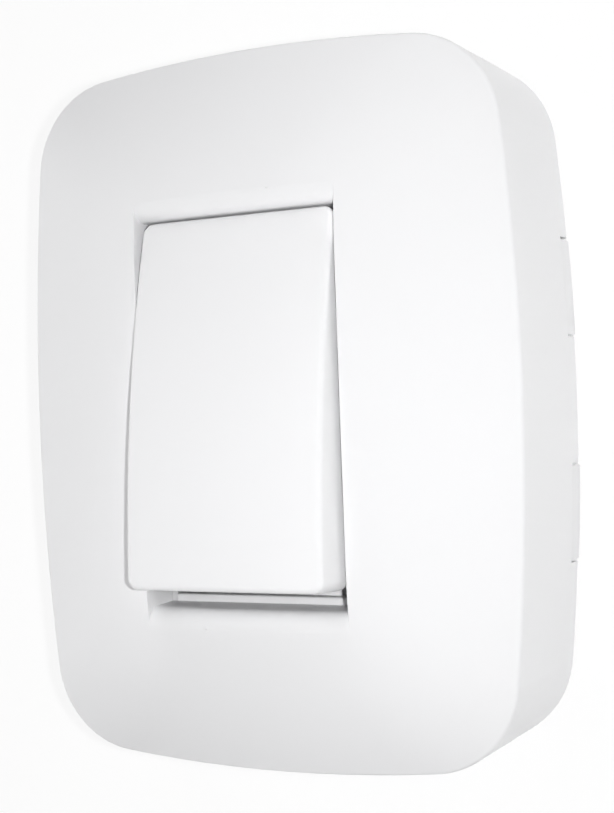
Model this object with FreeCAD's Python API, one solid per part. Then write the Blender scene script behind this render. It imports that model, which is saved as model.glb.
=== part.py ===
import FreeCAD, Part
import math
import os

# A surface mounted two-way rocker switch for a house wall, in millimetres.
# +Z is up, +X is to the right seen from the front, and the front faces -Y.
# The wall is the plane Y = 0, and the origin is the centre of the back face.
# Depths are called "out": the distance from the wall towards the viewer, so Y = -out.
# The rocker is built level and then tilted to its rest pose, top pressed in.

# How far a cutting shape runs past the piece, and how close counts as lying on a face
through = 1.0
near = 0.01
lip_tolerance = 0.1

# Case outline, seen from the front
case_width = 80.0
case_height = 106.0
side_bow_radius = 380.0
end_bow_radius = 232.0
corner_radius = 14.0

# Case depths and walls
rim_out = 26.0
dome_rise = 8.9
dome_top_inset = 1.753
dome_levels = [0.85, 0.7, 0.55, 0.4, 0.25]
dome_corner_taper = 0.4
wall_draft = 0.8
cover_wall = 2.0
cover_face = 1.8
rim_round = 0.7
rim_slope = 24.0
flange_thickness = 1.0
flange_inset = 0.4
plate_thickness = 2.2
cover_clearance = 0.3

# Rocker key and its pivot
rocker_width = 31.1
rocker_length = 53.8
rocker_tilt = 8.5
pivot_out = 24.8
crest_above_pivot = 12.8
crown_sag = 1.8
skirt_depth = 8.0
key_end_draft = 5.0
rocker_cap = 2.0
rocker_skin = 1.5
key_corner_radius = 1.7
key_edge_radius = 0.8
pin_radius = 1.55
pin_clearance = 0.05
pin_wall = 1.7
rib_thickness = 1.2
rib_depth = 4.5
rib_place = 13.45
skirt_middle_drop = 1.0
skirt_flat_half_length = 4.5
pin_end_inset = 0.2

# Opening of the cover round the key
side_gap = 0.7
end_gap = 1.3
collar_wall = 1.5
collar_rear_out = 26.2
end_wall_draft = 2.5
lip_round = 2.4

# Entry tabs for cable or mini trunking, in both side walls
tab_length = 14.8
tab_height = 4.2
tab_centre_z = 16.8
tab_thickness = 1.2
tab_clearance = 0.35
tab_inset = 0.1

# Snap arms of the base and catch ribs of the cover
arm_centre_x = 17.0
arm_width = 10.0
arm_thickness = 1.6
arm_top_out = 14.6
barb_reach = 0.8
barb_out = 11.8
barb_height = 1.6
catch_reach = 1.0
catch_height = 1.4
catch_play = 0.2

# Locating ring of the base
ring_thickness = 1.3
ring_top_out = 8.0
ring_break = 1.0

# Wall fixing and rear cable entry
wall_slot_spacing = 60.0
wall_slot_width = 4.4
wall_slot_length = 8.0
cable_entry_width = 24.0
cable_entry_height = 10.0
cable_entry_from_end = 11.0

# Mechanism housing
housing_rear_out = 5.0
housing_floor_out = 10.0
block_top_out = 17.5
tower_top_out = 19.5
housing_half_width = 28.3
housing_half_height = 16.5
tower_half_width = 12.2
tower_half_height = 14.8
housing_wall = 1.5
housing_corner = 1.2

# Inner frame that carries the key
frame_floor = 1.5
rail_width = 3.4
bar_width = 3.9
frame_corner = 2.0
frame_rail_out = 25.2
bar_out = 26.0
window_side_gap = 0.4
window_end_gap = 0.25
bar_side_gap = 0.55
bar_setback = 0.5
bar_round = 0.35
post_thickness = 2.7
post_radius = 3.0
post_gap = 0.3
stop_length = 3.0
stop_half_width = 11.0
stop_gap = 0.27
clip_half_width = 4.0
clip_thickness = 1.4
clip_gap = 0.2
clip_barb = 0.7
clip_end_out = 11.6
clip_barb_height = 1.5

# Contacts
strip_thickness = 0.8
strip_width = 6.0
strip_run_width = 3.8
strip_side_gap = 0.5
strip_end_margin = 0.9
contact_arm = 10.0
contact_gap = 3.0
tip_radius = 1.6
tip_thickness = 0.8
fixed_radius = 1.7
fixed_height = 0.9
fixed_dome_radius = 4.0
closed_gap = 0.1
blade_thickness = 0.8
blade_half_width = 2.9
blade_half_length = 11.8
lug_half_width = 4.7
lug_half_length = 0.9
yoke_thickness = 0.8
yoke_half_length = 2.5
yoke_height = 4.6
yoke_gap = 0.3
notch_half_width = 1.25
notch_clearance = 0.2

# Plunger and its spring
boss_radius = 3.6
boss_below_pivot = 6.0
plunger_radius = 2.15
plunger_clearance = 0.05
plunger_tip_gap = 0.1
plunger_top = -1.5
plunger_stub_radius = 1.1
plunger_stub_length = 1.8
spring_chamber_top = 5.0
spring_wire = 0.5
spring_radius = 1.7
spring_turns = 4
slot_play = 0.4

# Terminals
terminal_x = 23.5
terminal_plate_length = 7.5
terminal_plate_width = 7.4
chamber_half_width = 4.4
chamber_inner_x = 18.7
channel_clearance = 0.15
clamp_side = 7.0
clamp_thickness = 1.0
clamp_corner = 0.6
clamp_groove_radius = 0.9
clamp_groove_offset = 2.7
clamp_groove_sink = 0.5
screw_shank_radius = 1.7
screw_head_radius = 3.1
screw_head_height = 2.0
screw_head_bevel = 0.35
screw_slot_width = 0.9
screw_slot_depth = 1.0
screw_clearance = 0.05
clamp_hole_clearance = 0.25
terminal_screw_length = 5.4
screw_pocket_depth = 4.0
screw_pocket_clearance = 0.4

# Mechanism screws and the pillars under them
mechanism_seat_out = 14.0
mechanism_screw_length = 12.4
pillar_radius = 3.4
pad_radius = 2.5
pad_x = 25.0
pad_z = 13.5
counterbore_clearance = 0.4

# Sizes worked out from those above
key_half_width = rocker_width / 2
key_half_length = rocker_length / 2
opening_half_width = key_half_width + side_gap
opening_half_height = key_half_length + end_gap
dome_top_half_height = opening_half_height - dome_top_inset
dome_end_share = (1 - dome_top_half_height / (case_height / 2)) / (1 - dome_levels[-1])
cable_entry_z = cable_entry_from_end - case_height / 2
contact_tilt = math.degrees(math.asin(contact_gap / 2 / contact_arm))
strip_top = housing_floor_out + strip_thickness
fixed_peak = strip_top + fixed_height
see_saw_out = (fixed_peak + closed_gap + tip_thickness * math.cos(math.radians(contact_tilt))
               + contact_gap / 2)
plunger_reach = pivot_out - (see_saw_out + blade_thickness + plunger_tip_gap)
frame_front = tower_top_out + frame_floor
window_half_width = key_half_width + window_side_gap
window_half_height = key_half_length + window_end_gap
key_end_height = crest_above_pivot - crown_sag
key_foot_half_length = key_half_length - skirt_depth * math.tan(math.radians(key_end_draft))
pivot = FreeCAD.Vector(0, -pivot_out, 0)
x_axis = FreeCAD.Vector(1, 0, 0)
outwards = FreeCAD.Vector(0, -1, 0)


def box(x0, x1, out0, out1, z0, z1):
    """A block between two places on each axis."""
    return Part.makeBox(x1 - x0, out1 - out0, z1 - z0, FreeCAD.Vector(x0, -out1, z0))


def rod(x, z, radius, out0, out1):
    """A round bar square to the wall."""
    return Part.makeCylinder(radius, out1 - out0, FreeCAD.Vector(x, -out0, z), outwards)


def cross_rod(x0, x1, out, z, radius):
    """A round bar along X."""
    return Part.makeCylinder(radius, x1 - x0, FreeCAD.Vector(x0, -out, z), x_axis)


def both_ends(shape):
    """The shape and its copy mirrored top to bottom."""
    return shape.fuse(shape.mirror(FreeCAD.Vector(0, 0, 0), FreeCAD.Vector(0, 0, 1)))


def both_sides(shape):
    """The shape and its copy mirrored left to right."""
    return shape.fuse(shape.mirror(FreeCAD.Vector(0, 0, 0), FreeCAD.Vector(1, 0, 0)))


def bowed_wire(half_width, half_height, side_radius, end_radius, corner, out):
    """A rectangle with bowed sides and tangent corner arcs, at one depth."""
    side_centre = FreeCAD.Vector(half_width - side_radius, 0, 0)
    end_centre = FreeCAD.Vector(0, 0, half_height - end_radius)
    between = end_centre - side_centre
    distance = between.Length
    along = between.normalize()
    across = FreeCAD.Vector(-along.z, 0, along.x)
    side_reach = side_radius - corner
    end_reach = end_radius - corner
    step = (side_reach ** 2 - end_reach ** 2 + distance ** 2) / (2 * distance)
    rise = math.sqrt(side_reach ** 2 - step ** 2)
    centre = side_centre + along * step + across * rise
    from_side = (centre - side_centre).normalize()
    from_end = (centre - end_centre).normalize()
    side_end = side_centre + from_side * side_radius
    end_start = end_centre + from_end * end_radius
    middle = centre + (from_side + from_end).normalize() * corner

    def place(point, sx, sz):
        return FreeCAD.Vector(point.x * sx, -out, point.z * sz)

    side_point = FreeCAD.Vector(half_width, 0, 0)
    end_point = FreeCAD.Vector(0, 0, half_height)
    arcs = [
        (place(side_end, 1, -1), place(side_point, 1, 1), place(side_end, 1, 1)),
        (place(side_end, 1, 1), place(middle, 1, 1), place(end_start, 1, 1)),
        (place(end_start, 1, 1), place(end_point, 1, 1), place(end_start, -1, 1)),
        (place(end_start, -1, 1), place(middle, -1, 1), place(side_end, -1, 1)),
        (place(side_end, -1, 1), place(side_point, -1, 1), place(side_end, -1, -1)),
        (place(side_end, -1, -1), place(middle, -1, -1), place(end_start, -1, -1)),
        (place(end_start, -1, -1), place(end_point, 1, -1), place(end_start, 1, -1)),
        (place(end_start, 1, -1), place(middle, 1, -1), place(side_end, 1, -1)),
    ]
    return Part.Wire([Part.Arc(*points).toShape() for points in arcs])


def edges_at(shape, out):
    """The edges that lie at one depth."""
    return [edge for edge in shape.Edges
            if max(abs(vertex.Y + out) for vertex in edge.Vertexes) < near]


def case_wire(inset, out):
    """The case's outline at one depth, drawn in by an even amount; it widens towards the wall."""
    grow = (rim_out - out) * math.tan(math.radians(wall_draft)) - inset
    return bowed_wire(case_width / 2 + grow, case_height / 2 + grow, side_bow_radius + grow,
                      end_bow_radius + grow, corner_radius + grow, out)


def case_prism(inset, out0, out1):
    """A block with the case's outline and its draft."""
    return Part.makeLoft([case_wire(inset, out0), case_wire(inset, out1)], True, True)


def band(inset0, inset1, out0, out1):
    """A standing wall that follows the case's outline."""
    return case_prism(inset0, out0, out1).cut(case_prism(inset1, out0 - through, out1 + through))


def dome(base_inset, base_out, inset, sink):
    """The pillow-shaped front: outlines that shrink as they rise."""
    sections = [case_wire(base_inset, base_out)]
    for level in dome_levels:
        half_width = case_width / 2 * level
        half_height = case_height / 2 * (1 - dome_end_share * (1 - level))
        out = rim_out + dome_rise * (1 - level ** 2) - sink
        sections.append(bowed_wire(half_width - inset, half_height - inset,
                                   side_bow_radius / level ** 2 - inset, end_bow_radius / level - inset,
                                   corner_radius * level ** dome_corner_taper - inset, out))
    return Part.makeLoft(sections, True, False)


def end_wall_z(grow, out):
    """How far up the opening's end wall stands at one depth."""
    return opening_half_height + grow + (out - collar_rear_out) * math.tan(math.radians(end_wall_draft))


def opening_prism(grow, rear_out):
    """The space in and round the key's opening: straight sides, leaning ends."""
    half = opening_half_width + grow
    top_out = rim_out + dome_rise + through
    corners = [FreeCAD.Vector(-half, -out, side * end_wall_z(grow, out))
               for out, side in ((rear_out, 1), (top_out, 1), (top_out, -1), (rear_out, -1))]
    return Part.Face(Part.makePolygon(corners + corners[:1])).extrude(FreeCAD.Vector(2 * half, 0, 0))


def lip_edges(shape, grow):
    """The edges where the opening's end walls meet the dome."""
    found = []
    for edge in shape.Edges:
        points = [vertex.Point for vertex in edge.Vertexes] + [edge.CenterOfMass]
        if all(-point.y > collar_rear_out + lip_tolerance
               and abs(abs(point.z) - end_wall_z(grow, -point.y)) < lip_tolerance for point in points):
            found.append(edge)
    return found


def front_cover():
    """Domed shell with a collar round the key, entry notches and catch ribs."""
    slope = math.radians(rim_slope)
    wall_top = rim_out - rim_round * math.tan(math.pi / 4 - slope / 2)
    block_top = wall_top + rim_round
    draft = math.radians(wall_draft)
    dome_inset = rim_round * (1 / math.cos(draft) - math.sin(slope) - math.cos(slope) * math.tan(draft))
    dome_out = wall_top + rim_round * math.cos(slope)
    outer = case_prism(0, flange_thickness, block_top)
    outer = outer.makeFillet(rim_round, edges_at(outer, block_top))
    outer = outer.cut(box(-case_width, case_width, dome_out, block_top + through,
                          -case_height, case_height))
    outer = outer.fuse(dome(dome_inset, dome_out, 0, 0))
    face_out = rim_out - cover_face
    hollow = case_prism(cover_wall, 0, face_out).fuse(dome(cover_wall, face_out, cover_wall, cover_face))
    hollow = hollow.cut(opening_prism(collar_wall, collar_rear_out))
    hollow = hollow.makeFillet(lip_round - cover_face, lip_edges(hollow, collar_wall))
    outer = outer.cut(opening_prism(0, 0))
    shell = outer.makeFillet(lip_round, lip_edges(outer, 0)).cut(hollow)
    notch = box(case_width / 4, case_width, 0, tab_height,
                tab_centre_z - tab_length / 2, tab_centre_z + tab_length / 2)
    shell = shell.cut(both_sides(both_ends(notch)))
    rib_top = barb_out - catch_play
    rib = band(cover_wall / 2, cover_wall + catch_reach, rib_top - catch_height, rib_top)
    rib = rib.common(box(arm_centre_x - arm_width / 2, arm_centre_x + arm_width / 2,
                         0, rim_out, 0, case_height))
    return shell.fuse(both_sides(both_ends(rib))).removeSplitter()


def wall_base():
    """Back plate with a flange, locating ring, snap arms, entry tabs and pillars."""
    inner_inset = cover_wall + cover_clearance
    base = case_prism(flange_inset, 0, flange_thickness)
    base = base.fuse(case_prism(inner_inset, 0, plate_thickness))
    ring = band(inner_inset, inner_inset + ring_thickness, 0, ring_top_out)
    tab_room = tab_length / 2 + ring_break
    ring = ring.cut(both_sides(both_ends(box(case_width / 4, case_width, plate_thickness, ring_top_out,
                                             tab_centre_z - tab_room, tab_centre_z + tab_room))))
    arm_half = arm_width / 2
    arm_room = box(arm_centre_x - arm_half - ring_break, arm_centre_x + arm_half + ring_break,
                   plate_thickness, ring_top_out, case_height / 4, case_height)
    ring = ring.cut(both_sides(both_ends(arm_room)))
    base = base.fuse(ring)

    arm_face = cover_wall + catch_reach + cover_clearance
    reach = box(arm_centre_x - arm_half, arm_centre_x + arm_half, 0, rim_out, case_height / 4, case_height)
    arm = band(arm_face, arm_face + arm_thickness, 0, arm_top_out).common(reach)
    barb = band(arm_face - barb_reach, arm_face + arm_thickness, barb_out, barb_out + barb_height)
    base = base.fuse(both_sides(both_ends(arm.fuse(barb.common(reach)))))

    tab_half = tab_length / 2 - tab_clearance
    tab = band(tab_inset, tab_inset + tab_thickness, 0, tab_height - tab_clearance)
    tab = tab.common(box(case_width / 4, case_width, 0, tab_height,
                         tab_centre_z - tab_half, tab_centre_z + tab_half))
    base = base.fuse(both_sides(both_ends(tab)))

    for side in (-1, 1):
        base = base.fuse(rod(side * terminal_x, 0, pillar_radius, 0, housing_rear_out))
        base = base.cut(rod(side * terminal_x, 0, screw_shank_radius + screw_clearance,
                            flange_thickness, housing_rear_out))
    base = base.fuse(both_sides(both_ends(rod(pad_x, pad_z, pad_radius, 0, housing_rear_out))))
    slot = slotted_hole(wall_slot_spacing / 2, wall_slot_width, wall_slot_length)
    entry = slotted_hole(0, cable_entry_height, cable_entry_width)
    entry.rotate(FreeCAD.Vector(0, 0, 0), outwards, 90)
    entry.translate(FreeCAD.Vector(0, 0, cable_entry_z))
    return base.cut(both_ends(slot)).cut(entry).removeSplitter()


def slotted_hole(z, width, length):
    """A round-ended slot through the back plate, its length up the wall."""
    radius = width / 2
    half_run = length / 2 - radius
    slot = box(-radius, radius, -through, plate_thickness + through, z - half_run, z + half_run)
    for tip in (z - half_run, z + half_run):
        slot = slot.fuse(rod(0, tip, radius, -through, plate_thickness + through))
    return slot


def inner_frame():
    """Shallow tray that carries the key: floor, rails, two end bars, pivot posts and clips."""
    half_width = window_half_width + rail_width
    half_height = window_half_height + bar_width + bar_setback
    block = box(-half_width, half_width, tower_top_out, frame_rail_out, -half_height, half_height)
    block = block.makeFillet(frame_corner, [edge for edge in block.Edges if runs_outwards(edge)])
    frame = block.cut(box(-window_half_width, window_half_width, frame_front, frame_rail_out,
                          -window_half_height, window_half_height))
    bar_half = opening_half_width - bar_side_gap
    bar = box(-bar_half, bar_half, frame_front, bar_out,
              window_half_height, window_half_height + bar_width)
    bar = bar.makeFillet(bar_round, edges_at(bar, bar_out))
    frame = frame.fuse(both_ends(bar))
    stop_out = pivot_out + (key_end_height - skirt_depth) * math.cos(math.radians(rocker_tilt)) \
        - key_foot_half_length * math.sin(math.radians(rocker_tilt)) - stop_gap
    stop = box(-stop_half_width, stop_half_width, tower_top_out, stop_out,
               window_half_height - stop_length, window_half_height + through)
    frame = frame.fuse(both_ends(stop))
    post_outer = key_half_width - rocker_skin - post_gap
    post = box(post_outer - post_thickness, post_outer, tower_top_out, pivot_out, -post_radius, post_radius)
    post = post.fuse(cross_rod(post_outer - post_thickness, post_outer, pivot_out, 0, post_radius))
    post = post.fuse(cross_rod(post_outer - post_thickness, key_half_width - pin_end_inset,
                               pivot_out, 0, pin_radius))
    frame = frame.fuse(both_sides(post))
    swing = (pivot_out - tower_top_out) * math.sin(math.radians(rocker_tilt))
    slot_x = boss_radius + slot_play
    slot_z = boss_radius + swing + slot_play
    frame = frame.cut(box(-slot_x, slot_x, tower_top_out, frame_front, -slot_z, slot_z))
    leg_inner = housing_half_height + clip_gap
    leg = box(-clip_half_width, clip_half_width, clip_end_out, frame_front,
              leg_inner, leg_inner + clip_thickness)
    leg = leg.fuse(box(-clip_half_width, clip_half_width, clip_end_out, clip_end_out + clip_barb_height,
                       leg_inner - clip_barb, leg_inner + clip_thickness))
    return frame.fuse(both_ends(leg)).removeSplitter()


def runs_outwards(edge):
    """True for a straight edge square to the wall."""
    ends = [vertex.Point for vertex in edge.Vertexes]
    if len(ends) != 2:
        return False
    step = ends[1] - ends[0]
    return abs(step.x) < 1e-6 and abs(step.z) < 1e-6


def mechanism_housing():
    """Moulded block with the contact cavity, three terminal chambers and two screw seats."""
    block = box(-housing_half_width, housing_half_width, housing_rear_out, block_top_out,
                -housing_half_height, housing_half_height)
    block = block.makeFillet(housing_corner, [edge for edge in block.Edges if runs_outwards(edge)])
    tower = box(-tower_half_width, tower_half_width, housing_rear_out, tower_top_out,
                -tower_half_height, tower_half_height)
    housing = block.fuse(tower)
    housing = housing.cut(box(housing_wall - tower_half_width, tower_half_width - housing_wall,
                              housing_floor_out, tower_top_out,
                              housing_wall - tower_half_height, tower_half_height - housing_wall))
    channel_top = strip_top + channel_clearance
    channel_half = strip_width / 2 + channel_clearance
    pocket_radius = screw_shank_radius + screw_pocket_clearance
    for side, end in ((1, 1), (-1, 1), (-1, -1)):
        x0, x1 = sorted((side * chamber_inner_x, side * (housing_half_width + through)))
        z = end * contact_arm
        housing = housing.cut(box(x0, x1, housing_floor_out, block_top_out + through,
                                  z - chamber_half_width, z + chamber_half_width))
        x0, x1 = sorted((side * (tower_half_width - housing_wall - through),
                         side * (chamber_inner_x + through)))
        housing = housing.cut(box(x0, x1, housing_floor_out, channel_top,
                                  z - channel_half, z + channel_half))
        housing = housing.cut(rod(side * terminal_x, z, pocket_radius,
                                  housing_floor_out - screw_pocket_depth, housing_floor_out + through))
    for side in (-1, 1):
        housing = housing.cut(rod(side * terminal_x, 0, screw_shank_radius + clamp_hole_clearance,
                                  housing_rear_out - through, mechanism_seat_out))
        housing = housing.cut(rod(side * terminal_x, 0, screw_head_radius + counterbore_clearance,
                                  mechanism_seat_out, block_top_out + through))
    recess = box(-clip_half_width - clip_gap, clip_half_width + clip_gap,
                 clip_end_out - clip_gap, clip_end_out + clip_barb_height + clip_gap,
                 housing_half_height - clip_barb, housing_half_height + through)
    return housing.cut(both_ends(recess)).removeSplitter()


def key_profile(half_length, crest, end_height, lower_end, lower_middle):
    """Side view of the key, level: crowned front, drafted ends, sloping lower edge."""
    def at(z, height):
        return FreeCAD.Vector(0, -(pivot_out + height), z)
    foot = half_length - (end_height - lower_end) * math.tan(math.radians(key_end_draft))
    crown = Part.Arc(at(-half_length, end_height), at(0, crest), at(half_length, end_height)).toShape()
    corners = [at(half_length, end_height), at(foot, lower_end),
               at(skirt_flat_half_length, lower_middle), at(-skirt_flat_half_length, lower_middle),
               at(-foot, lower_end), at(-half_length, end_height)]
    lines = [Part.LineSegment(a, b).toShape() for a, b in zip(corners, corners[1:])]
    return Part.Face(Part.Wire([crown] + lines))


def key_prism(face, half_width):
    """The side view drawn out across the key's width."""
    face.translate(FreeCAD.Vector(-half_width, 0, 0))
    return face.extrude(FreeCAD.Vector(2 * half_width, 0, 0))


def to_rest(shape):
    """Tilt a piece of the key from level to the rest pose, top pressed in."""
    shape.rotate(pivot, x_axis, -rocker_tilt)
    return shape


def rocker():
    """The key: crowned cap, skirt with pivot lobes, ribs and the plunger's boss."""
    lower_end = key_end_height - skirt_depth
    body = key_prism(key_profile(key_half_length, crest_above_pivot, key_end_height,
                                 lower_end, -skirt_middle_drop), key_half_width)
    upright = [edge for edge in body.Edges if edge.Vertexes[0].Z * edge.Vertexes[-1].Z > 0
               and min(abs(vertex.Z) for vertex in edge.Vertexes) > key_foot_half_length - near
               and abs(edge.Vertexes[0].Y - edge.Vertexes[-1].Y) > near]
    body = body.makeFillet(key_corner_radius, upright)
    front = [edge for edge in body.Edges
             if max(vertex.Y for vertex in edge.Vertexes) < near - pivot_out - key_end_height]
    body = body.makeFillet(key_edge_radius, front)
    hollow_length = key_half_length - rocker_skin
    hollow_width = key_half_width - rocker_skin
    hollow_foot = -(boss_below_pivot + through)
    hollow = key_prism(key_profile(hollow_length, crest_above_pivot - rocker_cap,
                                   key_end_height - rocker_cap, hollow_foot, hollow_foot), hollow_width)
    crest_out = pivot_out + crest_above_pivot
    rib_foot = pivot_out + key_end_height - rocker_cap - rib_depth
    ribs = box(-rib_thickness / 2, rib_thickness / 2, rib_foot, crest_out, -hollow_length, hollow_length)
    ribs = ribs.fuse(both_ends(box(-hollow_width, hollow_width, rib_foot, crest_out,
                                   rib_place - rib_thickness / 2, rib_place + rib_thickness / 2)))
    ribs = ribs.fuse(rod(0, 0, boss_radius, pivot_out - boss_below_pivot, crest_out))
    key = body.cut(hollow).fuse(ribs.common(hollow))
    lobe_radius = pin_radius + pin_clearance + pin_wall
    key = key.fuse(both_sides(cross_rod(hollow_width, key_half_width, pivot_out, 0, lobe_radius)))
    key = key.cut(both_sides(cross_rod(hollow_width - through, key_half_width + through, pivot_out, 0,
                                       pin_radius + pin_clearance)))
    key = key.cut(rod(0, 0, plunger_radius + plunger_clearance,
                      pivot_out - boss_below_pivot - through, pivot_out + spring_chamber_top))
    return to_rest(key.removeSplitter())


def plunger():
    """Sprung pin in the key's boss, round tipped, that tips the contact over."""
    ball_out = pivot_out - plunger_reach + plunger_radius
    pin = rod(0, 0, plunger_radius, ball_out, pivot_out + plunger_top)
    pin = pin.fuse(Part.makeSphere(plunger_radius, FreeCAD.Vector(0, -ball_out, 0)))
    pin = pin.fuse(rod(0, 0, plunger_stub_radius, ball_out,
                       pivot_out + plunger_top + plunger_stub_length))
    return to_rest(pin.removeSplitter())


def tangent_arc(start, corner, end):
    """A piece of round wire that leaves its start towards a corner point and meets its end from there."""
    middle = (start + end) / 2
    half_chord = (end - start).Length / 2
    half_turn = math.acos(half_chord / (corner - start).Length)
    crown = middle + (corner - middle).normalize() * half_chord * math.tan(half_turn / 2)
    arc = Part.Arc(start, crown, end).toShape()
    section = Part.Face(Part.Wire(Part.makeCircle(spring_wire / 2, start, corner - start)))
    turn = math.degrees(arc.LastParameter - arc.FirstParameter)
    return section.revolve(arc.Curve.Center, arc.Curve.Axis, turn)


def coil(radius, length, turns):
    """A helix of round wire up +Z, made of a pair of tangent arcs for each quarter turn."""
    steps = 4 * turns
    lean = length / (2 * math.pi * turns * radius)

    def place(step):
        angle = step * math.pi / 2
        return FreeCAD.Vector(radius * math.cos(angle), radius * math.sin(angle), length * step / steps)

    def heading(step):
        angle = step * math.pi / 2
        return FreeCAD.Vector(-math.sin(angle), math.cos(angle), lean).normalize()

    arcs = []
    for step in range(steps):
        start = place(step)
        end = place(step + 1)
        both = heading(step) + heading(step + 1)
        chord = end - start
        bend = 2 * (1 - heading(step).dot(heading(step + 1)))
        reach = (math.sqrt(chord.dot(both) ** 2 + bend * chord.dot(chord)) - chord.dot(both)) / bend
        first_corner = start + heading(step) * reach
        second_corner = end - heading(step + 1) * reach
        join = (first_corner + second_corner) / 2
        arcs.append(tangent_arc(start, first_corner, join))
        arcs.append(tangent_arc(join, second_corner, end))
    return arcs[0].multiFuse(arcs[1:]).removeSplitter()


def plunger_spring():
    """Compression spring between the plunger's shoulder and the end of its bore."""
    spring = coil(spring_radius, spring_chamber_top - plunger_top - spring_wire, spring_turns)
    spring.rotate(FreeCAD.Vector(0, 0, 0), x_axis, 90)
    spring.translate(FreeCAD.Vector(0, -(pivot_out + plunger_top + spring_wire / 2), 0))
    return to_rest(spring)


def tilt_contact(shape):
    """Tilt a piece of the see-saw from level to the rest pose, lower end closed."""
    shape.rotate(FreeCAD.Vector(0, -see_saw_out, 0), x_axis, contact_tilt)
    return shape


def moving_contact():
    """See-saw blade with round ends and two lugs that rock in the yoke."""
    straight = blade_half_length - blade_half_width
    blade = box(-blade_half_width, blade_half_width, see_saw_out, see_saw_out + blade_thickness,
                -straight, straight)
    for z in (-straight, straight):
        blade = blade.fuse(rod(0, z, blade_half_width, see_saw_out, see_saw_out + blade_thickness))
    blade = blade.fuse(box(-lug_half_width, lug_half_width, see_saw_out, see_saw_out + blade_thickness,
                           -lug_half_length, lug_half_length))
    return tilt_contact(blade.removeSplitter())


def moving_tip(end):
    """Silver contact tip under one end of the see-saw."""
    return tilt_contact(rod(0, end * contact_arm, tip_radius, see_saw_out - tip_thickness, see_saw_out))


def fixed_contact(end):
    """Silver contact rivet with a domed head on a terminal strip."""
    head = rod(0, end * contact_arm, fixed_radius, strip_top, fixed_peak)
    centre = FreeCAD.Vector(0, -(fixed_peak - fixed_dome_radius), end * contact_arm)
    return head.common(Part.makeSphere(fixed_dome_radius, centre))


def terminal_plate(side, end):
    """The end of a terminal strip, with the hole for its screw."""
    x0, x1 = sorted((side * (terminal_x - terminal_plate_length / 2),
                     side * (terminal_x + terminal_plate_length / 2)))
    z = end * contact_arm
    return box(x0, x1, housing_floor_out, strip_top,
               z - terminal_plate_width / 2, z + terminal_plate_width / 2)


def screw_hole(side, end):
    """The hole in a terminal plate."""
    return rod(side * terminal_x, end * contact_arm, screw_shank_radius + screw_clearance,
               housing_floor_out - through, strip_top + through)


def strip(x0, x1, z):
    """A straight run of terminal strip on the housing's floor."""
    return box(x0, x1, housing_floor_out, strip_top, z - strip_width / 2, z + strip_width / 2)


def traveller_terminal(end):
    """Strip from the left terminal to the fixed contact on it."""
    strip_end = fixed_radius + strip_end_margin
    shape = terminal_plate(-1, end).fuse(strip(-terminal_x, strip_end, end * contact_arm))
    return shape.cut(screw_hole(-1, end)).removeSplitter()


def common_terminal():
    """Strip from the right terminal to the yoke that the see-saw rocks in."""
    run_outer = tower_half_width - housing_wall - strip_side_gap
    run_inner = run_outer - strip_run_width
    yoke_inner = blade_half_width + yoke_gap
    yoke_outer = yoke_inner + yoke_thickness
    shape = terminal_plate(1, 1).fuse(strip(run_inner, terminal_x, contact_arm))
    shape = shape.fuse(box(run_inner, run_outer, housing_floor_out, strip_top,
                           -yoke_half_length, contact_arm + strip_width / 2))
    shape = shape.fuse(box(-yoke_outer, run_outer, housing_floor_out, strip_top,
                           -yoke_half_length, yoke_half_length))
    ear = box(yoke_inner, yoke_outer, housing_floor_out, strip_top + yoke_height,
              -yoke_half_length, yoke_half_length)
    ear = ear.cut(box(yoke_inner - through, yoke_outer + through, see_saw_out - notch_clearance,
                      strip_top + yoke_height + through, -notch_half_width, notch_half_width))
    shape = shape.fuse(both_sides(ear))
    return shape.cut(screw_hole(1, 1)).removeSplitter()


def clamp(side, end):
    """Square clamping washer with two wire grooves under it."""
    x = side * terminal_x
    z = end * contact_arm
    half = clamp_side / 2
    shape = box(x - half, x + half, strip_top, strip_top + clamp_thickness, z - half, z + half)
    shape = shape.makeFillet(clamp_corner, [edge for edge in shape.Edges if runs_outwards(edge)])
    for offset in (-clamp_groove_offset, clamp_groove_offset):
        shape = shape.cut(cross_rod(x - half - through, x + half + through,
                                    strip_top - clamp_groove_sink, z + offset, clamp_groove_radius))
    return shape.cut(rod(x, z, screw_shank_radius + clamp_hole_clearance,
                         strip_top - through, strip_top + clamp_thickness + through))


def slotted_screw(x, z, seat_out, length):
    """A slotted cheese-head screw, head out, its threads left plain."""
    top = seat_out + screw_head_height
    screw = rod(x, z, screw_head_radius, seat_out, top)
    screw = screw.makeChamfer(screw_head_bevel, edges_at(screw, top))
    screw = screw.fuse(rod(x, z, screw_shank_radius, seat_out - length, seat_out))
    return screw.cut(box(x - screw_head_radius - through, x + screw_head_radius + through,
                         top - screw_slot_depth, top + through,
                         z - screw_slot_width / 2, z + screw_slot_width / 2))


def terminal_screw(side, end):
    """The screw that draws a clamp down on its terminal plate."""
    return slotted_screw(side * terminal_x, end * contact_arm, strip_top + clamp_thickness,
                         terminal_screw_length)


def mechanism_screws():
    """Two screws that hold the housing on the base's pillars."""
    return Part.Compound([slotted_screw(side * terminal_x, 0, mechanism_seat_out, mechanism_screw_length)
                          for side in (-1, 1)])


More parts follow.
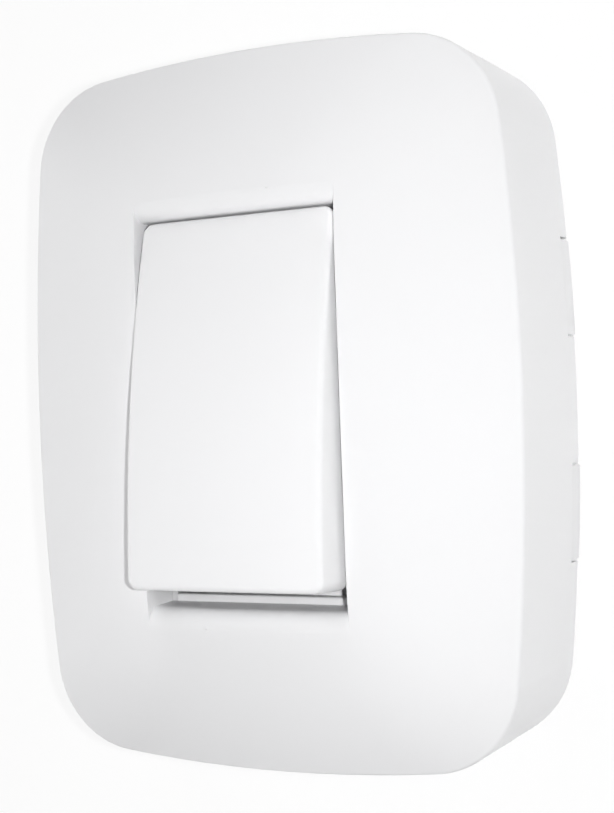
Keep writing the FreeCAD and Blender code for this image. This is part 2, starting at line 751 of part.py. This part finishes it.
pieces = {
    "wall_base": wall_base(),
    "front_cover": front_cover(),
    "inner_frame": inner_frame(),
    "mechanism_housing": mechanism_housing(),
    "rocker": rocker(),
    "plunger": plunger(),
    "plunger_spring": plunger_spring(),
    "moving_contact": moving_contact(),
    "upper_moving_tip": moving_tip(1),
    "lower_moving_tip": moving_tip(-1),
    "common_terminal": common_terminal(),
    "upper_terminal": traveller_terminal(1),
    "lower_terminal": traveller_terminal(-1),
    "upper_fixed_contact": fixed_contact(1),
    "lower_fixed_contact": fixed_contact(-1),
    "common_clamp": clamp(1, 1),
    "upper_clamp": clamp(-1, 1),
    "lower_clamp": clamp(-1, -1),
    "common_screw": terminal_screw(1, 1),
    "upper_screw": terminal_screw(-1, 1),
    "lower_screw": terminal_screw(-1, -1),
    "mechanism_screws": mechanism_screws(),
}

os.makedirs("parts", exist_ok=True)
for name, shape in pieces.items():
    shape.exportStep(f"parts/{name}.step")
    print(name, "valid" if shape.isValid() else "NOT VALID", len(shape.Solids), "solid(s)",
          "volume", round(shape.Volume, 2))
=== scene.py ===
import math

import bmesh
import bpy
from mathutils import Matrix, Vector


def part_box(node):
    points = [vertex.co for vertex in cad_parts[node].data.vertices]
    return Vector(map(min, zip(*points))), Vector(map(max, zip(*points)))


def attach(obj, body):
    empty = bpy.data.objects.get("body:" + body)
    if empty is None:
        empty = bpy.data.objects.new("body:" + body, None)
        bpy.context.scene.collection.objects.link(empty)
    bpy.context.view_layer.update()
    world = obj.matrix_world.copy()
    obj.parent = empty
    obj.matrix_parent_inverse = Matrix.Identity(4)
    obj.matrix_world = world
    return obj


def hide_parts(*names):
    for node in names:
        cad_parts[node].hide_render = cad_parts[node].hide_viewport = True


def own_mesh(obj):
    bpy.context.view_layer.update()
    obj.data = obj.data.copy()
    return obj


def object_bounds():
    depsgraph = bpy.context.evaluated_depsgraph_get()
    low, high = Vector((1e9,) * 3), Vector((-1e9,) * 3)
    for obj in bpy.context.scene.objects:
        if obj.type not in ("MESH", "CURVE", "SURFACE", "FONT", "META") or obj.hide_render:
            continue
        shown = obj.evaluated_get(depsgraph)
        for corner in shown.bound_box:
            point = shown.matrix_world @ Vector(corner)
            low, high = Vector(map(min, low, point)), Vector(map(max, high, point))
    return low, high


bl_info = {
    "name": "Surface Mount Switch",
    "version": (1, 0, 0),
    "blender": (4, 5, 0),
    "location": "View3D > Sidebar > Switch",
    "description": "Finishes, threaded screws and a plain stage for a surface mounted rocker switch",
    "category": "Object",
}

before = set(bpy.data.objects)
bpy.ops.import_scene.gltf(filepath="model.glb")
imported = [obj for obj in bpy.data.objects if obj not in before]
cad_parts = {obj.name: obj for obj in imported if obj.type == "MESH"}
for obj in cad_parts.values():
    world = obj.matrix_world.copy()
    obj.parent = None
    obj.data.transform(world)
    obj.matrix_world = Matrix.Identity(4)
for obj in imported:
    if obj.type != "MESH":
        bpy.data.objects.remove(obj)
case_low, case_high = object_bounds()

# The photograph's view: where the lens stands, how it is turned in degrees, its length and its shift
LENS_PLACE = (0.10058, -0.21343, -0.00082)
LENS_YAW = 26.277
LENS_PITCH = 0.673
LENS_ROLL = -2.091
LENS_LENGTH = 64.2
LENS_SHIFT = (-0.0047, 0.0311)
LENS_CLIP = 0.01

# Screws with cut threads: their name, the node they stand for, and their middles across and up the wall
SCREWS = (
    ("common_screw_threaded", "common_screw", ((0.0235, 0.01),)),
    ("upper_screw_threaded", "upper_screw", ((-0.0235, 0.01),)),
    ("lower_screw_threaded", "lower_screw", ((-0.0235, -0.01),)),
    ("mechanism_screws_threaded", "mechanism_screws", ((-0.0235, 0.0), (0.0235, 0.0))),
)

# The screws' measures in metres; a thread starts at a share of its radius at the tip
HEAD_RADIUS = 0.0031
HEAD_HEIGHT = 0.002
HEAD_BEVEL = 0.00035
SLOT_WIDTH = 0.0009
SLOT_DEPTH = 0.001
SHANK_RADIUS = 0.0017
TIP_SHARE = 0.8
THREAD_PITCH = 0.0006
THREAD_DEPTH = 0.0003
THREAD_SIDES = 32
THREAD_STEPS = 8

# The plunger's spring: its ends lie along the plunger's way out from the key's pivot
PIVOT = (0, -0.0248, 0)
PLUNGER_OUT = (0, -0.989016, 0.147809)
SPRING_START = -0.0015
SPRING_END = 0.005
SPRING_RADIUS = 0.0017
SPRING_TURNS = 6
CLOSED_TURNS = 1.2
TURN_STEPS = 24
WIRE_RADIUS = 0.00025
WIRE_SIDES = 10

# Plastics: the setting for the colour, the roughness, and the scale and depth of the grain. Where there is
# no roughness it follows the cover's gloss
PLASTICS = {
    "cover_plastic": ("cover_colour", None, 4200, 0.00001),
    "key_plastic": ("key_colour", None, 4200, 0.00001),
    "base_plastic": ("base_colour", 0.5, 2600, 0.00002),
    "housing_plastic": ("housing_colour", 0.55, 2200, 0.00003),
}
# Metals: the setting for the colour, the roughness, and the scale and depth of the working lines
METALS = {
    "terminal_brass": ("brass_colour", 0.28, (500, 7000, 7000), 0.000004),
    "contact_silver": ("silver_colour", 0.2, (3000, 3000, 3000), 0.000002),
    "plated_steel": ("zinc_colour", 0.3, (4000, 900, 4000), 0.000004),
    "spring_steel": ("wire_colour", 0.25, (900, 5000, 900), 0.000003),
}
# The darker share of a colour, the strength of the bump, and the sockets of a colour mix
PLASTIC_SHADE = 0.985
METAL_DULLING = 0.7
GRAIN_STRENGTH = 0.4
LINE_STRENGTH = 0.5
MIX_FIRST = 6
MIX_SECOND = 7
MIX_RESULT = 2

# The stage: its white as the camera sees it and as it bounces light
WHITE_LEVEL = 1.02
WHITE_BOUNCE = 0.8

# Lamps: a small one right beside the lens, and soft boxes a metre off the middle, each with its name, how
# far it is turned to the right of the front and raised, its width, height and power
LENS_LAMP_ASIDE = 0.0145
LENS_LAMP_SIZE = 0.006
LENS_LAMP_POWER = 0.3
SOFT_BOX_REACH = 1
SOFT_BOXES = (
    ("fill_lamp", -45, 0, 0.6, 0.9, 2.1),
    ("left_lamp", -80, 0, 0.3, 0.9, 2.4),
    ("upper_lamp", -20, 66, 0.5, 0.4, 2.5),
    ("side_lamp", 87, 25, 0.08, 0.6, 1.3),
)


class SwitchFinishSettings(bpy.types.PropertyGroup):
    """Colours and gloss of the switch's plastics and metals."""

    cover_colour: bpy.props.FloatVectorProperty(
        name="Cover", description="Moulded plastic of the domed cover",
        default=(0.93, 0.93, 0.94), size=3, min=0, max=1, subtype="COLOR")
    key_colour: bpy.props.FloatVectorProperty(
        name="Key", description="Moulded plastic of the rocker key",
        default=(0.94, 0.94, 0.95), size=3, min=0, max=1, subtype="COLOR")
    base_colour: bpy.props.FloatVectorProperty(
        name="Base", description="Moulded plastic of the back plate and of the inner frame",
        default=(0.92, 0.92, 0.93), size=3, min=0, max=1, subtype="COLOR")
    housing_colour: bpy.props.FloatVectorProperty(
        name="Housing", description="Moulded plastic of the mechanism",
        default=(0.86, 0.86, 0.87), size=3, min=0, max=1, subtype="COLOR")
    brass_colour: bpy.props.FloatVectorProperty(
        name="Brass", description="Stamped strips of the terminals and the see-saw",
        default=(0.78, 0.62, 0.32), size=3, min=0, max=1, subtype="COLOR")
    silver_colour: bpy.props.FloatVectorProperty(
        name="Silver", description="Contact tips and rivets",
        default=(0.85, 0.85, 0.83), size=3, min=0, max=1, subtype="COLOR")
    zinc_colour: bpy.props.FloatVectorProperty(
        name="Zinc", description="Plated screws and clamping washers",
        default=(0.72, 0.72, 0.74), size=3, min=0, max=1, subtype="COLOR")
    wire_colour: bpy.props.FloatVectorProperty(
        name="Spring wire", description="Drawn steel wire of the plunger's spring",
        default=(0.66, 0.66, 0.68), size=3, min=0, max=1, subtype="COLOR")
    gloss: bpy.props.FloatProperty(
        name="Cover gloss", description="How shiny the cover and the key are",
        default=0.55, min=0, max=1, subtype="FACTOR")


class SwitchStageSettings(bpy.types.PropertyGroup):
    """The wall, the floor and the lamps round the switch."""

    wall_width: bpy.props.FloatProperty(
        name="Wall width", description="Width and height of the white wall",
        default=1.6, min=0.2, unit="LENGTH")
    wall_gap: bpy.props.FloatProperty(
        name="Wall gap", description="Room between the back plate and the wall",
        default=0.0002, min=0, unit="LENGTH", precision=5)
    floor_drop: bpy.props.FloatProperty(
        name="Floor drop", description="How far the floor lies under the switch's middle",
        default=0.35, min=0.06, unit="LENGTH")
    shadow_share: bpy.props.FloatProperty(
        name="Shadow", description="How much of the wall's white comes from the lamps and so takes shadow",
        default=0.16, min=0, max=1, subtype="FACTOR")
    sky_strength: bpy.props.FloatProperty(
        name="Sky", description="Even light from all round",
        default=0.02, min=0, max=2)


def new_material(name):
    """A node material with an empty tree apart from its shader and output."""
    material = bpy.data.materials.new(name)
    material.use_nodes = True
    return material, material.node_tree, material.node_tree.nodes["Principled BSDF"]


def add_socket(group, name, kind, way, value=None):
    """A named input or output on a node group."""
    socket = group.interface.new_socket(name=name, in_out=way, socket_type=kind)
    if value is not None:
        socket.default_value = value


def surface_group(name, second_colour, scale_name, scale_kind, scale):
    """A surface's node group with its sockets, and its nodes for inputs, outputs and coordinates."""
    group = bpy.data.node_groups.new(name, "ShaderNodeTree")
    add_socket(group, "Colour", "NodeSocketColor", "INPUT", (0.9, 0.9, 0.9, 1))
    add_socket(group, second_colour, "NodeSocketColor", "INPUT", (0.8, 0.8, 0.8, 1))
    add_socket(group, "Roughness", "NodeSocketFloat", "INPUT", 0.3)
    add_socket(group, scale_name, scale_kind, "INPUT", scale)
    add_socket(group, "Colour", "NodeSocketColor", "OUTPUT")
    add_socket(group, "Roughness", "NodeSocketFloat", "OUTPUT")
    add_socket(group, "Height", "NodeSocketFloat", "OUTPUT")
    return (group, group.nodes.new("NodeGroupInput"), group.nodes.new("NodeGroupOutput"),
            group.nodes.new("ShaderNodeTexCoord"))


def noise(tree, vector, detail, scale=None, distortion=0):
    """A noise texture on a vector; without a scale its own input is left for a link."""
    texture = tree.nodes.new("ShaderNodeTexNoise")
    texture.inputs["Detail"].default_value = detail
    texture.inputs["Distortion"].default_value = distortion
    if scale is not None:
        texture.inputs["Scale"].default_value = scale
    tree.links.new(vector, texture.inputs["Vector"])
    return texture


def ranged(tree, value, **ends):
    """A value carried from one range to another, each of them 0 to 1 apart from the ends given."""
    node = tree.nodes.new("ShaderNodeMapRange")
    for end, level in ends.items():
        node.inputs[end.replace("_", " ").title()].default_value = level
    tree.links.new(value, node.inputs["Value"])
    return node.outputs["Result"]


def blend_colours(tree, factor, inlet, first, second, outlet):
    """The group's colour between two of its inputs."""
    colour = tree.nodes.new("ShaderNodeMix")
    colour.data_type = "RGBA"
    tree.links.new(factor, colour.inputs["Factor"])
    tree.links.new(inlet.outputs[first], colour.inputs[MIX_FIRST])
    tree.links.new(inlet.outputs[second], colour.inputs[MIX_SECOND])
    tree.links.new(colour.outputs[MIX_RESULT], outlet.inputs["Colour"])


def vary_roughness(tree, inlet, change, outlet):
    """The group's roughness with a change added."""
    rough = tree.nodes.new("ShaderNodeMath")
    rough.operation = "ADD"
    rough.use_clamp = True
    tree.links.new(inlet.outputs["Roughness"], rough.inputs[0])
    tree.links.new(change, rough.inputs[1])
    tree.links.new(rough.outputs["Value"], outlet.inputs["Roughness"])


def moulded_surface_group():
    """Slow tone drift, faint flow marks and a fine mould grain for plastics."""
    group, inlet, outlet, place = surface_group("Moulded Surface", "Shade Colour", "Grain Scale",
                                                "NodeSocketFloat", 4000)
    drift = noise(group, place.outputs["Object"], 2, scale=22)
    flow = noise(group, place.outputs["Object"], 4, scale=160, distortion=1.5)
    grain = noise(group, place.outputs["Object"], 3)
    group.links.new(inlet.outputs["Grain Scale"], grain.inputs["Scale"])
    tone = ranged(group, drift.outputs["Fac"], from_min=0.35, from_max=0.75)
    blend_colours(group, tone, inlet, "Colour", "Shade Colour", outlet)
    vary_roughness(group, inlet, ranged(group, flow.outputs["Fac"], to_min=-0.05, to_max=0.05), outlet)
    group.links.new(grain.outputs["Fac"], outlet.inputs["Height"])
    return group


def metal_surface_group():
    """Fine lines along one axis, dull spots and tone drift for metals."""
    group, inlet, outlet, place = surface_group("Metal Surface", "Dull Colour", "Line Scale",
                                                "NodeSocketVector", (400, 6000, 6000))
    stretch = group.nodes.new("ShaderNodeVectorMath")
    stretch.operation = "MULTIPLY"
    group.links.new(place.outputs["Object"], stretch.inputs[0])
    group.links.new(inlet.outputs["Line Scale"], stretch.inputs[1])
    lines = noise(group, stretch.outputs["Vector"], 3, scale=1)
    spots = noise(group, place.outputs["Object"], 5, scale=900)
    dull = ranged(group, spots.outputs["Fac"], from_min=0.45, from_max=0.8)
    blend_colours(group, dull, inlet, "Colour", "Dull Colour", outlet)
    vary_roughness(group, inlet, ranged(group, spots.outputs["Fac"], to_min=-0.08, to_max=0.12), outlet)
    group.links.new(lines.outputs["Fac"], outlet.inputs["Height"])
    return group


def shared_group(name, make):
    """The node group of that name, built the first time it is asked for."""
    return bpy.data.node_groups.get(name) or make()


def surfaced(name, group, values, bump_strength, bump_depth):
    """A material whose colour, roughness and bump come from a surface group with the given values."""
    material, tree, shader = new_material(name)
    surface = tree.nodes.new("ShaderNodeGroup")
    surface.node_tree = group
    for socket, value in values.items():
        surface.inputs[socket].default_value = value
    bump = tree.nodes.new("ShaderNodeBump")
    bump.inputs["Strength"].default_value = bump_strength
    bump.inputs["Distance"].default_value = bump_depth
    tree.links.new(surface.outputs["Colour"], shader.inputs["Base Color"])
    tree.links.new(surface.outputs["Roughness"], shader.inputs["Roughness"])
    tree.links.new(surface.outputs["Height"], bump.inputs["Height"])
    tree.links.new(bump.outputs["Normal"], shader.inputs["Normal"])
    return material, shader


def moulded_plastic(finish, slot):
    """The plastic of a material slot."""
    colour, roughness, grain_scale, grain_depth = PLASTICS[slot]
    colour = getattr(finish, colour)
    if roughness is None:
        roughness = 1 - finish.gloss
    values = {"Colour": (*colour, 1), "Shade Colour": (*[part * PLASTIC_SHADE for part in colour], 1),
              "Roughness": roughness, "Grain Scale": grain_scale}
    group = shared_group("Moulded Surface", moulded_surface_group)
    return surfaced(slot, group, values, GRAIN_STRENGTH, grain_depth)[0]


def worked_metal(finish, slot):
    """The metal of a material slot."""
    colour, roughness, line_scale, line_depth = METALS[slot]
    colour = getattr(finish, colour)
    values = {"Colour": (*colour, 1), "Dull Colour": (*[part * METAL_DULLING for part in colour], 1),
              "Roughness": roughness, "Line Scale": line_scale}
    group = shared_group("Metal Surface", metal_surface_group)
    material, shader = surfaced(slot, group, values, LINE_STRENGTH, line_depth)
    shader.inputs["Metallic"].default_value = 1
    return material


def dress(material, *nodes):
    """Give carried-over nodes their finish."""
    for node in nodes:
        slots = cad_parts[node].data.materials
        slots.clear()
        slots.append(material)


class SWITCH_OT_cover(bpy.types.Operator):
    """Finish the domed cover in satin moulded plastic"""

    bl_idname = "switch.cover"
    bl_label = "Cover"

    def execute(self, context):
        dress(moulded_plastic(context.scene.switch_finish, "cover_plastic"), "front_cover")
        return {"FINISHED"}


class SWITCH_OT_key(bpy.types.Operator):
    """Finish the rocker key in the same plastic, a shade brighter"""

    bl_idname = "switch.key"
    bl_label = "Key"

    def execute(self, context):
        dress(moulded_plastic(context.scene.switch_finish, "key_plastic"), "rocker")
        return {"FINISHED"}


class SWITCH_OT_base(bpy.types.Operator):
    """Finish the back plate and the inner frame in matt moulded plastic"""

    bl_idname = "switch.base"
    bl_label = "Base and inner frame"

    def execute(self, context):
        dress(moulded_plastic(context.scene.switch_finish, "base_plastic"), "wall_base", "inner_frame")
        return {"FINISHED"}


class SWITCH_OT_mechanism(bpy.types.Operator):
    """Finish the housing and the plunger in their duller plastic"""

    bl_idname = "switch.mechanism"
    bl_label = "Mechanism"

    def execute(self, context):
        dress(moulded_plastic(context.scene.switch_finish, "housing_plastic"), "mechanism_housing",
              "plunger")
        return {"FINISHED"}


def skin(shape, rings):
    """Join rings of as many corners each, and close the first and the last."""
    for lower, upper in zip(rings, rings[1:]):
        for at, corner in enumerate(lower):
            beside = (at + 1) % len(lower)
            shape.faces.new((corner, lower[beside], upper[beside], upper[at]))
    shape.faces.new(rings[0][::-1])
    shape.faces.new(rings[-1])


def rim_point(shape, centre, radius, angle, out):
    """A corner at an angle round a middle on the wall, some way out."""
    across, up = centre
    return shape.verts.new((across + radius * math.cos(angle), -out, up + radius * math.sin(angle)))


def arc_block(shape, centre, sweep, tiers):
    """A block of the screw's head, its outline an arc, with one ring for each height and inset."""
    skin(shape, [[rim_point(shape, centre, HEAD_RADIUS - inset, angle, out) for angle in sweep]
                 for out, inset in tiers])


def thread_radius(turns):
    """How far out a sharp thread stands, some turns along its helix."""
    crest = abs(2 * (turns % 1) - 1)
    return SHANK_RADIUS - THREAD_DEPTH * (1 - crest)


def cut_screw(shape, centre, tip_out, top_out):
    """A slotted cheese-head screw with a helical thread on its shank."""
    seat_out = top_out - HEAD_HEIGHT
    slot_out = top_out - SLOT_DEPTH
    full = [2 * math.pi * step / THREAD_SIDES for step in range(THREAD_SIDES)]
    arc_block(shape, centre, full, ((seat_out, 0), (slot_out, 0)))
    edge = math.asin(SLOT_WIDTH / 2 / HEAD_RADIUS)
    step = (math.pi - 2 * edge) / (THREAD_SIDES // 2)
    for start in (edge, math.pi + edge):
        half = [start + step * index for index in range(THREAD_SIDES // 2 + 1)]
        arc_block(shape, centre, half, ((slot_out, 0), (top_out - HEAD_BEVEL, 0), (top_out, HEAD_BEVEL)))
    rings = []
    levels = round((seat_out - tip_out) / THREAD_PITCH * THREAD_STEPS)
    for level in range(levels + 1):
        out = tip_out + (seat_out - tip_out) * level / levels
        lead = min(1, (out - tip_out) / THREAD_PITCH)
        share = TIP_SHARE + (1 - TIP_SHARE) * lead
        rings.append([
            rim_point(shape, centre, share * thread_radius(out / THREAD_PITCH - angle / (2 * math.pi)),
                      angle, out)
            for angle in full])
    skin(shape, rings)


def stand_for(shape, name, node, body, material):
    """Turn a shape into a piece that stands for a node and rides on a body."""
    bmesh.ops.recalc_face_normals(shape, faces=shape.faces)
    mesh = bpy.data.meshes.new(name)
    shape.to_mesh(mesh)
    shape.free()
    mesh.materials.append(material)
    piece = bpy.data.objects.new(name, mesh)
    bpy.context.scene.collection.objects.link(piece)
    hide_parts(node)
    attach(piece, body)
    return piece


def threaded_screws(name, node, centres, material):
    """Threaded screws in the place of a node of plain ones."""
    low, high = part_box(node)
    shape = bmesh.new()
    for centre in centres:
        cut_screw(shape, centre, -high[1], -low[1])
    stand_for(shape, name, node, "case", material)


def wind(turns, length):
    """How far along a spring with closed ends the wire is after some turns."""
    dead = CLOSED_TURNS * 2 * WIRE_RADIUS
    open_turns = SPRING_TURNS - 2 * CLOSED_TURNS
    if turns < CLOSED_TURNS:
        return dead * turns / CLOSED_TURNS
    if turns > SPRING_TURNS - CLOSED_TURNS:
        return length - dead * (SPRING_TURNS - turns) / CLOSED_TURNS
    return dead + (length - 2 * dead) * (turns - CLOSED_TURNS) / open_turns


def coil_spring(material):
    """The plunger's spring with closed ends, a fixed coil that rides on the key."""
    along = Vector(PLUNGER_OUT).normalized()
    side = Vector((1, 0, 0))
    third = along.cross(side)
    start = Vector(PIVOT) + (SPRING_START + WIRE_RADIUS) * along
    span = SPRING_END - SPRING_START
    shape = bmesh.new()
    rings = []
    for step in range(SPRING_TURNS * TURN_STEPS + 1):
        angle = 2 * math.pi * step / TURN_STEPS
        outward = math.cos(angle) * side + math.sin(angle) * third
        climb = wind(step / TURN_STEPS, span - 2 * WIRE_RADIUS)
        middle = start + climb * along + SPRING_RADIUS * outward
        ring = []
        for corner in range(WIRE_SIDES):
            turn = 2 * math.pi * corner / WIRE_SIDES
            spoke = math.cos(turn) * outward + math.sin(turn) * along
            ring.append(shape.verts.new(middle + WIRE_RADIUS * spoke))
        rings.append(ring)
    skin(shape, rings)
    spring = stand_for(shape, "plunger_spring_wound", "plunger_spring", "key", material)
    for face in spring.data.polygons:
        face.use_smooth = True
    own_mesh(spring)


class SWITCH_OT_contacts(bpy.types.Operator):
    """Finish the brass strips, the silver contacts and the steel parts"""

    bl_idname = "switch.contacts"
    bl_label = "Contacts and terminals"

    def execute(self, context):
        finish = context.scene.switch_finish
        dress(worked_metal(finish, "terminal_brass"), "common_terminal", "upper_terminal",
              "lower_terminal", "moving_contact")
        dress(worked_metal(finish, "contact_silver"), "upper_fixed_contact", "lower_fixed_contact",
              "upper_moving_tip", "lower_moving_tip")
        zinc = worked_metal(finish, "plated_steel")
        dress(zinc, "common_clamp", "upper_clamp", "lower_clamp")
        coil_spring(worked_metal(finish, "spring_steel"))
        for name, node, centres in SCREWS:
            threaded_screws(name, node, centres, zinc)
        return {"FINISHED"}


def white_stage(name, shadow_share, one_sided):
    """White for the camera, with the part that the lamps give keeping the shadows."""
    material, tree, shader = new_material(name)
    nodes, links = tree.nodes, tree.links
    shader.inputs["Roughness"].default_value = 1
    shader.inputs["Specular IOR Level"].default_value = 0
    ray = nodes.new("ShaderNodeLightPath")
    white = ranged(tree, ray.outputs["Is Camera Ray"], to_min=WHITE_BOUNCE, to_max=shadow_share)
    links.new(white, shader.inputs["Base Color"])
    seen = nodes.new("ShaderNodeMath")
    seen.operation = "MAXIMUM"
    links.new(ray.outputs["Is Camera Ray"], seen.inputs[0])
    links.new(ray.outputs["Is Glossy Ray"], seen.inputs[1])
    seen_through = nodes.new("ShaderNodeMath")
    seen_through.operation = "MAXIMUM"
    links.new(seen.outputs["Value"], seen_through.inputs[0])
    links.new(ray.outputs["Is Transmission Ray"], seen_through.inputs[1])
    lift = nodes.new("ShaderNodeMath")
    lift.operation = "MULTIPLY"
    lift.inputs[1].default_value = WHITE_LEVEL - shadow_share
    links.new(seen_through.outputs["Value"], lift.inputs[0])
    shader.inputs["Emission Color"].default_value = (1, 1, 1, 1)
    links.new(lift.outputs["Value"], shader.inputs["Emission Strength"])
    if one_sided:
        side = nodes.new("ShaderNodeNewGeometry")
        clear = nodes.new("ShaderNodeBsdfTransparent")
        choose = nodes.new("ShaderNodeMixShader")
        links.new(side.outputs["Backfacing"], choose.inputs["Fac"])
        links.new(shader.outputs["BSDF"], choose.inputs[1])
        links.new(clear.outputs["BSDF"], choose.inputs[2])
        links.new(choose.outputs["Shader"], nodes["Material Output"].inputs["Surface"])
    return material


def flat_sheet(name, size, turn, place, material):
    """A square sheet of the stage."""
    mesh = bpy.data.meshes.new(name)
    shape = bmesh.new()
    bmesh.ops.create_grid(shape, x_segments=1, y_segments=1, size=size / 2)
    bmesh.ops.rotate(shape, verts=shape.verts, cent=(0, 0, 0), matrix=Matrix.Rotation(turn, 3, "X"))
    bmesh.ops.translate(shape, verts=shape.verts, vec=place)
    shape.to_mesh(mesh)
    shape.free()
    mesh.materials.append(material)
    sheet = bpy.data.objects.new(name, mesh)
    bpy.context.scene.collection.objects.link(sheet)


def lamp_at(name, place, aim, width, height, power, in_gloss=True):
    """A rectangular lamp at one place that looks at another; it may be kept out of glossy reflections."""
    lamp = bpy.data.lights.new(name, "AREA")
    lamp.shape = "RECTANGLE"
    lamp.size = width
    lamp.size_y = height
    lamp.energy = power
    holder = bpy.data.objects.new(name, lamp)
    holder.location = place
    holder.rotation_euler = (place - aim).to_track_quat("Z", "Y").to_euler()
    holder.visible_glossy = in_gloss
    bpy.context.scene.collection.objects.link(holder)


def soft_box(name, turn, rise, aim, width, height, power):
    """A soft box some way off a point, turned to the right of the front and raised."""
    turn, rise = math.radians(turn), math.radians(rise)
    off = Vector((math.sin(turn) * math.cos(rise), -math.cos(turn) * math.cos(rise), math.sin(rise)))
    lamp_at(name, aim + SOFT_BOX_REACH * off, aim, width, height, power)


def set_sky(scene, strength):
    """Even light from all round, which the camera sees as white."""
    world = bpy.data.worlds.new("studio")
    world.use_nodes = True
    scene.world = world
    nodes, links = world.node_tree.nodes, world.node_tree.links
    sky = nodes["Background"]
    sky.inputs["Color"].default_value = (1, 1, 1, 1)
    sky.inputs["Strength"].default_value = strength
    plain = nodes.new("ShaderNodeBackground")
    plain.inputs["Color"].default_value = (1, 1, 1, 1)
    ray = nodes.new("ShaderNodeLightPath")
    pick = nodes.new("ShaderNodeMixShader")
    links.new(ray.outputs["Is Camera Ray"], pick.inputs["Fac"])
    links.new(sky.outputs["Background"], pick.inputs[1])
    links.new(plain.outputs["Background"], pick.inputs[2])
    links.new(pick.outputs["Shader"], nodes["World Output"].inputs["Surface"])


def set_camera(scene):
    """The photograph's view; gives back the way that is right in it."""
    yaw, pitch, roll = (math.radians(angle) for angle in (LENS_YAW, LENS_PITCH, LENS_ROLL))
    level = Vector((math.cos(yaw), math.sin(yaw), 0))
    ahead = Vector((-math.sin(yaw) * math.cos(pitch), math.cos(yaw) * math.cos(pitch), -math.sin(pitch)))
    upright = level.cross(ahead)
    right = level * math.cos(roll) + upright * math.sin(roll)
    up = upright * math.cos(roll) - level * math.sin(roll)
    camera = bpy.data.cameras.new("camera")
    camera.lens = LENS_LENGTH
    camera.shift_x, camera.shift_y = LENS_SHIFT
    camera.clip_start = LENS_CLIP
    holder = bpy.data.objects.new("camera", camera)
    turn = Matrix((right, up, -ahead)).transposed().to_4x4()
    holder.matrix_world = Matrix.Translation(LENS_PLACE) @ turn
    scene.collection.objects.link(holder)
    scene.camera = holder
    return right


class SWITCH_OT_stage(bpy.types.Operator):
    """Set up the white wall, the floor, the lamps, the sky and the camera"""

    bl_idname = "switch.stage"
    bl_label = "Stage"

    def execute(self, context):
        scene = context.scene
        stage = scene.switch_stage
        wall = white_stage("stage_wall", stage.shadow_share, True)
        floor = white_stage("stage_floor", stage.shadow_share, False)
        middle = (case_low + case_high) / 2
        flat_sheet("wall", stage.wall_width, math.radians(90), (0, stage.wall_gap, 0), wall)
        flat_sheet("floor", 2 * stage.wall_width, 0, (0, 0, -stage.floor_drop), floor)
        set_sky(scene, stage.sky_strength)
        right = set_camera(scene)
        lamp_at("lens_lamp", Vector(LENS_PLACE) + LENS_LAMP_ASIDE * right, middle, LENS_LAMP_SIZE,
                LENS_LAMP_SIZE, LENS_LAMP_POWER, in_gloss=False)
        for name, turn, rise, width, height, power in SOFT_BOXES:
            soft_box(name, turn, rise, middle, width, height, power)
        scene.view_settings.view_transform = "Standard"
        return {"FINISHED"}


class SWITCH_PT_panel(bpy.types.Panel):
    """The switch's tab in the sidebar"""

    bl_idname = "SWITCH_PT_panel"
    bl_label = "Surface Mount Switch"
    bl_space_type = "VIEW_3D"
    bl_region_type = "UI"
    bl_category = "Switch"

    def draw(self, context):
        for settings in (context.scene.switch_finish, context.scene.switch_stage):
            box = self.layout.box()
            for name in settings.__annotations__:
                box.prop(settings, name)
        for operator in OPERATORS:
            self.layout.operator(operator.bl_idname)


SETTINGS = (SwitchFinishSettings, SwitchStageSettings)
OPERATORS = (SWITCH_OT_cover, SWITCH_OT_key, SWITCH_OT_base, SWITCH_OT_mechanism, SWITCH_OT_contacts,
             SWITCH_OT_stage)
CLASSES = SETTINGS + OPERATORS + (SWITCH_PT_panel,)


def register():
    for item in CLASSES:
        bpy.utils.register_class(item)
    bpy.types.Scene.switch_finish = bpy.props.PointerProperty(type=SwitchFinishSettings)
    bpy.types.Scene.switch_stage = bpy.props.PointerProperty(type=SwitchStageSettings)


def unregister():
    del bpy.types.Scene.switch_stage
    del bpy.types.Scene.switch_finish
    for item in reversed(CLASSES):
        bpy.utils.unregister_class(item)


def main():
    register()
    bpy.ops.switch.cover()
    bpy.ops.switch.key()
    bpy.ops.switch.base()
    bpy.ops.switch.mechanism()
    bpy.ops.switch.contacts()
    bpy.ops.switch.stage()


if __name__ == "__main__":
    main()
